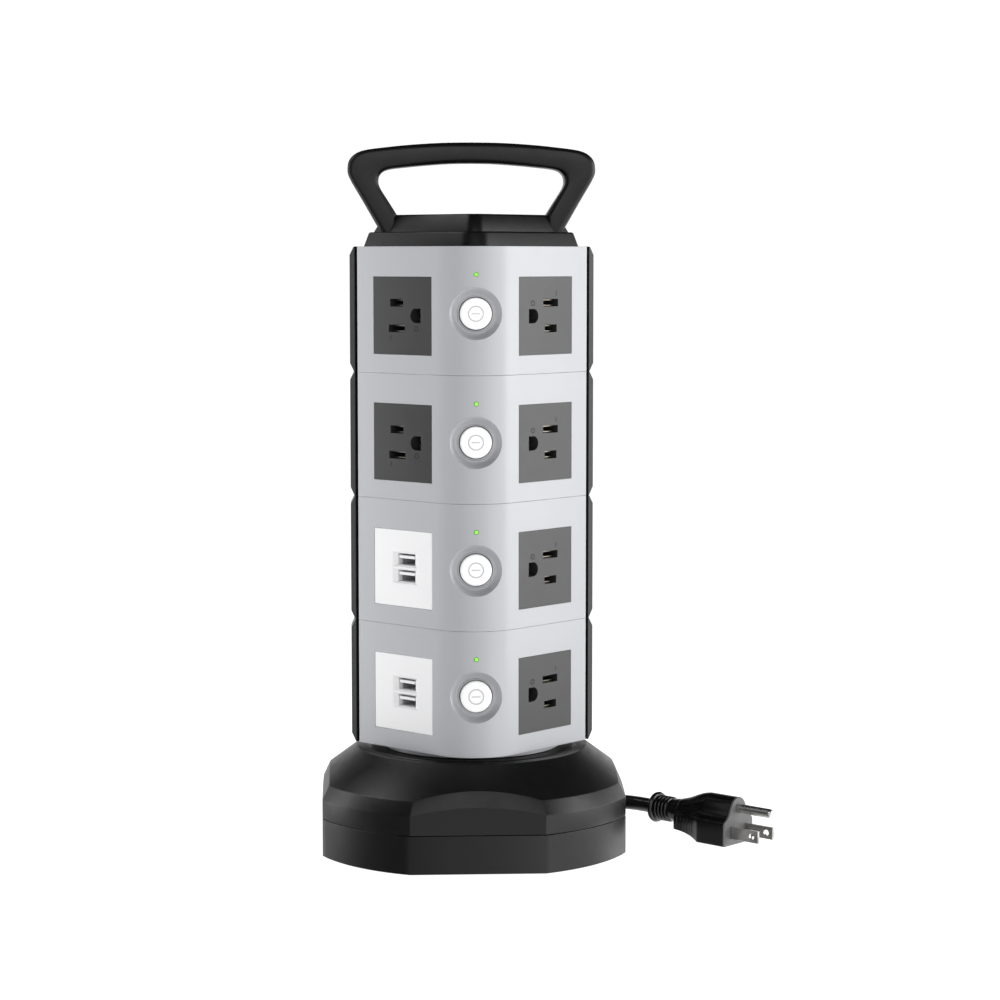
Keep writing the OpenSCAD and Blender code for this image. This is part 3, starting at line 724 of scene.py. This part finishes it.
def usb_plate(k):
    """A face plate with two ports, each in its own sloped recess."""
    points, faces = plate_grid(), []
    solid = [a for a in (j * 4 + i for j in range(5) for i in range(3)) if a not in PORT_CELLS]

    def new_ring(ring):
        points.extend(ring)
        return list(range(len(points) - len(ring), len(points)))

    def join(outer, inner):
        n = len(outer)
        faces.extend((outer[i], outer[(i + 1) % n], inner[(i + 1) % n], inner[i]) for i in range(n))

    faces.extend(tuple(cell(a)) for a in solid)
    holes = []
    for a, middle in zip(PORT_CELLS, reversed(PORT_Z)):
        ring = cell(a)
        for w, h, depth in (*PORT_STEPS, (*PORT_STEPS[-1][:2], PLATE_BACK)):
            inner = new_ring([(x, depth, z) for x, z in rect_ring(w, h, PORT_X, middle)])
            join(ring, inner)
            ring = inner
        holes.append(ring)
    border = [new_ring([(widened(points[i][0]), depth, widened(points[i][2])) for i in PLATE_RIM])
              for depth in (PLATE_EDGE, PLATE_BACK)]
    join(PLATE_RIM, border[0])
    join(*border)
    back = dict(zip(PLATE_RIM, border[1]))
    back.update(zip(PLATE_INNER, new_ring([(points[i][0], PLATE_BACK, points[i][2]) for i in PLATE_INNER])))
    faces.extend(tuple(back[i] for i in reversed(cell(a))) for a in solid)
    for hole, a in zip(holes, PORT_CELLS):
        join(hole, [back[i] for i in cell(a)])
    plate = mesh_object(f"usb_face_{k}", [on_face("front", k, *p) for p in points], faces, sharp=20)
    piece(plate, "usb_white", "tower", f"usb_plate_{k}")


# ---------- plug ----------

# Half outlines at distances behind the plug's face, from the bottom centre over the side to the top centre
PLUG_FRONT = [(0, 0), (6.0, 0), (12.3, 0), (12.3, 6.8), (12.1, 12.4), (8.2, 15.0), (6.9, 18.4), (4.6, 23.4),
              (0, 25.1)]
PLUG_SECTIONS = [
    (44.6, [(0, 6.0), (2.8, 6.6), (4.8, 8.6), (5.8, 11.0), (5.8, 12.8), (5.4, 14.2), (4.6, 15.8),
            (2.6, 17.2), (0, 17.7)]),
    (38.4, [(0, 5.6), (3.0, 6.0), (5.4, 7.9), (6.2, 10.4), (6.2, 12.4), (5.8, 14.2), (5.0, 16.2),
            (2.8, 18.0), (0, 18.5)]),
    (36.6, [(0, 5.0), (3.0, 5.2), (6.0, 6.4), (6.6, 9.2), (6.6, 11.4), (6.0, 13.6), (5.1, 16.4),
            (2.9, 18.4), (0, 18.9)]),
    (36.0, [(0, 3.9), (5.0, 3.9), (9.1, 3.9), (9.3, 7.5), (9.1, 11.0), (7.0, 13.2), (5.3, 16.6),
            (3.0, 18.6), (0, 19.1)]),
    (31.0, [(0, 3.3), (5.0, 3.3), (8.6, 3.3), (8.8, 7.4), (8.6, 11.3), (7.0, 13.8), (5.6, 17.3),
            (3.2, 19.8), (0, 20.6)]),
    (26.0, [(0, 2.3), (5.0, 2.3), (9.1, 2.3), (9.3, 7.2), (9.1, 11.8), (7.3, 14.4), (6.2, 18.2),
            (3.8, 21.8), (0, 23.0)]),
    (21.5, [(0, 1.1), (5.4, 1.1), (10.6, 1.1), (10.8, 7.0), (10.6, 12.2), (7.8, 14.8), (6.7, 18.4),
            (4.4, 23.0), (0, 24.7)]),
    (18.2, [(0, 0), (6.0, 0), (12.2, 0), (12.2, 6.8), (12.0, 12.4), (8.2, 15.0), (6.9, 18.4),
            (4.6, 23.4), (0, 25.1)]),
    (17.4, PLUG_FRONT), (9.0, PLUG_FRONT), (1.05, PLUG_FRONT),
]
# How crisp the rims of some sections stay, and the lengthwise edges at some points of the half outline
CREASED_RIMS = {0: 0.3, 3: 0.6, 7: 0.6, 10: 1.0}
CREASED_POINTS = {2: 0.75, 4: 0.45}
# Half width of the plug's waist at distances behind its face
WAIST = ((36.0, 9.25), (31.0, 8.75), (26.0, 9.25), (21.5, 10.75), (18.2, 12.25))
RIB_OUTLINE = ((-0.62, -0.5), (-0.62, 0.1), (-0.35, 0.45), (0.35, 0.45), (0.62, 0.1), (0.62, -0.5))


def plug_ring(face_x, y0, back, half):
    """A whole section from its half outline."""
    whole = half + [(-y, z) for y, z in reversed(half[1:-1])]
    return [(face_x - back, y0 + y, z) for y, z in whole]


def plug_loft(name, sections, face_x, y0, hard):
    """A moulded form over plug sections. hard says how crisp the rims of some sections stay."""
    rings = [plug_ring(face_x, y0, back, half) for back, half in sections]
    obj = mesh_object(name, *skin(rings), sharp=180)
    n = len(rings[0])
    crease = obj.data.attributes.new("crease_edge", "FLOAT", "EDGE")
    for edge in obj.data.edges:
        a, b = sorted(edge.vertices)
        if a // n == b // n:
            if a // n in hard:
                crease.data[edge.index].value = hard[a // n]
        else:
            spot = a % n
            crease.data[edge.index].value = CREASED_POINTS.get(spot, CREASED_POINTS.get(n - spot, 0))
    apply(obj, "SUBSURF", levels=3)
    shade(obj.data, 60)
    return obj


def grip_width(back):
    """Half width of the plug's waist at a distance behind its face."""
    for (b0, w0), (b1, w1) in zip(WAIST, WAIST[1:]):
        if b0 >= back >= b1:
            return w0 + (w1 - w0) * (b0 - back) / (b0 - b1)
    return WAIST[-1][1]


def grip_ribs(face_x, y0):
    """Upright finger ribs on both sides of the waist."""
    parts = []
    for side in (-1, 1):
        for i in range(6):
            back = 34.2 - 2.25 * i
            w = grip_width(back) - 0.25
            slope = grip_width(back - 0.5) - grip_width(back + 0.5)
            bottom, top = 4.6 - 0.25 * i, 10.6 + 0.15 * i
            rings = []
            for z, grow in ((bottom, 0.35), (bottom + 0.5, 0.75), (top - 0.5, 0.75), (top, 0.35)):
                ring = []
                for dx, dy in RIB_OUTLINE:
                    y = w + dy * grow + dx * slope + 0.1
                    ring.append((face_x - back + dx, y0 + side * y, z))
                rings.append(ring)
            parts.append(skin(rings))
    return parts


def relief_profile():
    """Radius of the strain relief along its length from its free end: a flange and four soft rings."""
    points = [(0, 4.4), (0.05, 7.0), (0.5, 7.9), (1.3, 8.1), (2.2, 7.8), (2.7, 6.8), (2.9, 5.2)]
    for i in range(4):
        x = 3.1 + 2.25 * i
        points += [(x, 5.1), (x + 0.25, 6.3), (x + 0.7, 6.75), (x + 1.2, 6.7), (x + 1.6, 6.2),
                   (x + 1.8, 5.15)]
    return points + [(12.2, 5.0), (14, 4.8)]


def plug(cord_z):
    """The moulded plug with its strain relief, ribs and face. Returns the pieces that ride with the cord."""
    low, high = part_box("plug_bridge")
    face_x, y0 = high.x / MM, (low.y + high.y) / 2 / MM
    back_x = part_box("plug_body")[0].x / MM
    body = plug_loft("plug_moulding", PLUG_SECTIONS, face_x, y0, CREASED_RIMS)
    body = piece(body, "plug_black", "base", "plug_body")
    rings = [[(back_x + x, y0 + a, cord_z + b) for a, b in circle(r, 40)] for x, r in relief_profile()]
    relief = mesh_object("plug_relief", *joined([skin(rings)] + grip_ribs(face_x, y0)), sharp=50)
    piece(relief, "plug_black", "base")
    small = [(y * 0.975, 0.25 + z * 0.98) for y, z in PLUG_FRONT]
    sections = [(0.95, PLUG_FRONT), (0.3, PLUG_FRONT), (0.0, small)]
    bridge = plug_loft("plug_face", sections, face_x, y0, {0: 1.0, 1: 0.8, 2: 0.9})
    piece(bridge, "plug_grey", "base", "plug_bridge")
    return [body, relief, bridge, NODES["plug_prongs"]]


# ---------- finish of the CAD nodes ----------

SHARP_ANGLE = math.radians(30)
BEVELS = {"base_lower_shell": 0.4, "swivel_disc": 0.3, "plug_prongs": 0.2}
for part, size in (("core", 0.3), ("front_shell", 0.12), ("rear_shell", 0.12)):
    BEVELS.update({f"{part}_{k}": size for k in LAYERS})


def soften(node, width):
    """Rounds a CAD node's sharp edges by modifiers, or only shades them crisp where width is 0."""
    obj = NODES[node]
    mesh = obj.data
    if "custom_normal" in mesh.attributes:
        mesh.attributes.remove(mesh.attributes["custom_normal"])
    for face in mesh.polygons:
        face.use_smooth = True
    weld = obj.modifiers.new("weld", "WELD")
    weld.merge_threshold = 0.000002
    if not width:
        split = obj.modifiers.new("crisp", "EDGE_SPLIT")
        split.split_angle = SHARP_ANGLE
        return
    flat = obj.modifiers.new("planar", "DECIMATE")
    flat.decimate_type = "DISSOLVE"
    flat.angle_limit = math.radians(0.4)
    bevel = obj.modifiers.new("bevel", "BEVEL")
    bevel.width = width * MM
    bevel.segments = 2
    bevel.limit_method = "ANGLE"
    bevel.angle_limit = SHARP_ANGLE
    bevel.harden_normals = True
    bevel.use_clamp_overlap = False


def finish_nodes():
    """Gives every CAD node the material of its slot."""
    for part in frame["record"]["subparts"]:
        obj = NODES[part["node"]]
        obj.data.materials.clear()
        obj.data.materials.append(MATERIALS[part["material_slot"]])


# ---------- studio ----------

def studio_point(right, near, up):
    """A point given by how far it is to the right in the view, towards the camera, and up."""
    return (0.735 * right + 0.678 * near, 0.678 * right - 0.735 * near, up)


LIGHT_AIM = (0, 0, 0.18)


def softbox(name, place, size, radiance):
    """A rectangular light of a given radiance that looks at the object's axis."""
    data = bpy.data.lights.new(name, "AREA")
    data.shape = "RECTANGLE"
    data.size, data.size_y = size
    data.energy = radiance * math.pi * size[0] * size[1]
    lamp = add(name, data)
    lamp.visible_camera = False
    look(lamp, studio_point(*place), LIGHT_AIM)


# Brightness of the horizon by angle: 0 is behind the camera, positive is to the right of the view
HORIZON = [(-180, 1.05), (-150, 1.05), (-120, 0.8), (-95, 0.6), (-75, 0.2), (-35, 0.2), (-12, 0.95),
           (20, 1.0), (45, 2.5), (75, 1.5), (95, 1.0), (115, 2.8), (150, 1.05), (180, 1.05)]
HORIZON_PEAK = 3.0
HORIZON_EDGE, SKY_EDGE = 0.11, 0.5        # heights of a direction between which the horizon fades to the sky
SKY = 0.08


def map_range(tree, value, numbers, interpolation):
    node = tree.nodes.new("ShaderNodeMapRange")
    node.interpolation_type = interpolation
    for socket, number in zip(("From Min", "From Max", "To Min", "To Max"), numbers):
        node.inputs[socket].default_value = number
    tree.links.new(value, node.inputs["Value"])
    return node.outputs["Result"]


def horizon_angle(tree, direction):
    """The angle of a direction round the object, as a share of a turn."""
    turn = tree.nodes.new("ShaderNodeMath")
    turn.operation = "ARCTAN2"
    for i, axis in enumerate((studio_point(1, 0, 0), studio_point(0, 1, 0))):
        dot = tree.nodes.new("ShaderNodeVectorMath")
        dot.operation = "DOT_PRODUCT"
        dot.inputs[1].default_value = axis
        tree.links.new(direction, dot.inputs[0])
        tree.links.new(dot.outputs["Value"], turn.inputs[i])
    return map_range(tree, turn.outputs[0], (-math.pi, math.pi, 0, 1), "LINEAR")


def horizon_level(tree, turn):
    """The horizon's brightness at an angle, as a share of the peak."""
    horizon = tree.nodes.new("ShaderNodeValToRGB")
    ramp = horizon.color_ramp
    ramp.interpolation = "EASE"
    while len(ramp.elements) < len(HORIZON):
        ramp.elements.new(0.5)
    for element, (degrees, level) in zip(ramp.elements, HORIZON):
        element.position = (degrees + 180) / 360
        element.color = (level / HORIZON_PEAK,) * 3 + (1,)
    tree.links.new(turn, horizon.inputs["Fac"])
    return horizon.outputs["Color"]


def make_world():
    """A soft grey studio round the object, darker above and brighter at the sides."""
    scene = bpy.context.scene
    scene.view_settings.view_transform = "Standard"
    scene.world = bpy.data.worlds.new("studio")
    scene.world.use_nodes = True
    tree = scene.world.node_tree
    direction = tree.nodes.new("ShaderNodeTexCoord").outputs["Generated"]
    split = tree.nodes.new("ShaderNodeSeparateXYZ")
    tree.links.new(direction, split.inputs[0])
    colour = horizon_level(tree, horizon_angle(tree, direction))
    numbers = (HORIZON_EDGE, SKY_EDGE, HORIZON_PEAK, SKY)
    strength = map_range(tree, split.outputs["Z"], numbers, "SMOOTHSTEP")
    background = tree.nodes["Background"]
    tree.links.new(colour, background.inputs["Color"])
    tree.links.new(strength, background.inputs["Strength"])


def make_lights():
    softbox("key_right", (1.15, 0.15, 0.38), (0.55, 1.0), 4.8)
    softbox("left_high", (-0.85, -0.1, 1.05), (0.6, 0.5), 3.0)
    softbox("left_near", (-0.30, -0.03, 0.2), (0.1, 0.45), 3.0)
    softbox("front", (0.05, 0.85, 0.64), (0.8, 0.45), 2.1)


FLOOR_RADIUS, FLOOR_DROP = 6, 0.00005


def make_floor():
    """The plain floor. It is left out of reflections, so that the world shapes them."""
    bpy.ops.mesh.primitive_circle_add(vertices=96, radius=FLOOR_RADIUS, fill_type="NGON",
                                      location=(0, 0, -FLOOR_DROP))
    floor = bpy.context.object
    floor.name = "floor"
    n = Nodes("floor_white")
    n.link(n.mix(n.ramp(n.noise(3), 0.3, 0.7), (0.5, 0.5, 0.5), (0.54, 0.54, 0.54)), "Base Color")
    n.shader.inputs["Roughness"].default_value = 0.8
    n.shader.inputs["Specular IOR Level"].default_value = 0.1
    n.shader.inputs["Emission Color"].default_value = (1, 1, 1, 1)
    n.shader.inputs["Emission Strength"].default_value = 1.0
    floor.data.materials.append(n.material)
    floor.visible_glossy = False


make_camera()
cord, cord_exit = make_cord()
finish_nodes()
upper_base()
cap()
handle()
switches()
outlet_marks()
for layer in USB_LAYERS:
    usb_plate(layer)
plug_pieces = plug(COIL_ROWS[0])
for node in NODES:
    soften(node, BEVELS.get(node, 0))
make_world()
make_lights()
make_floor()
bpy.context.view_layer.update()
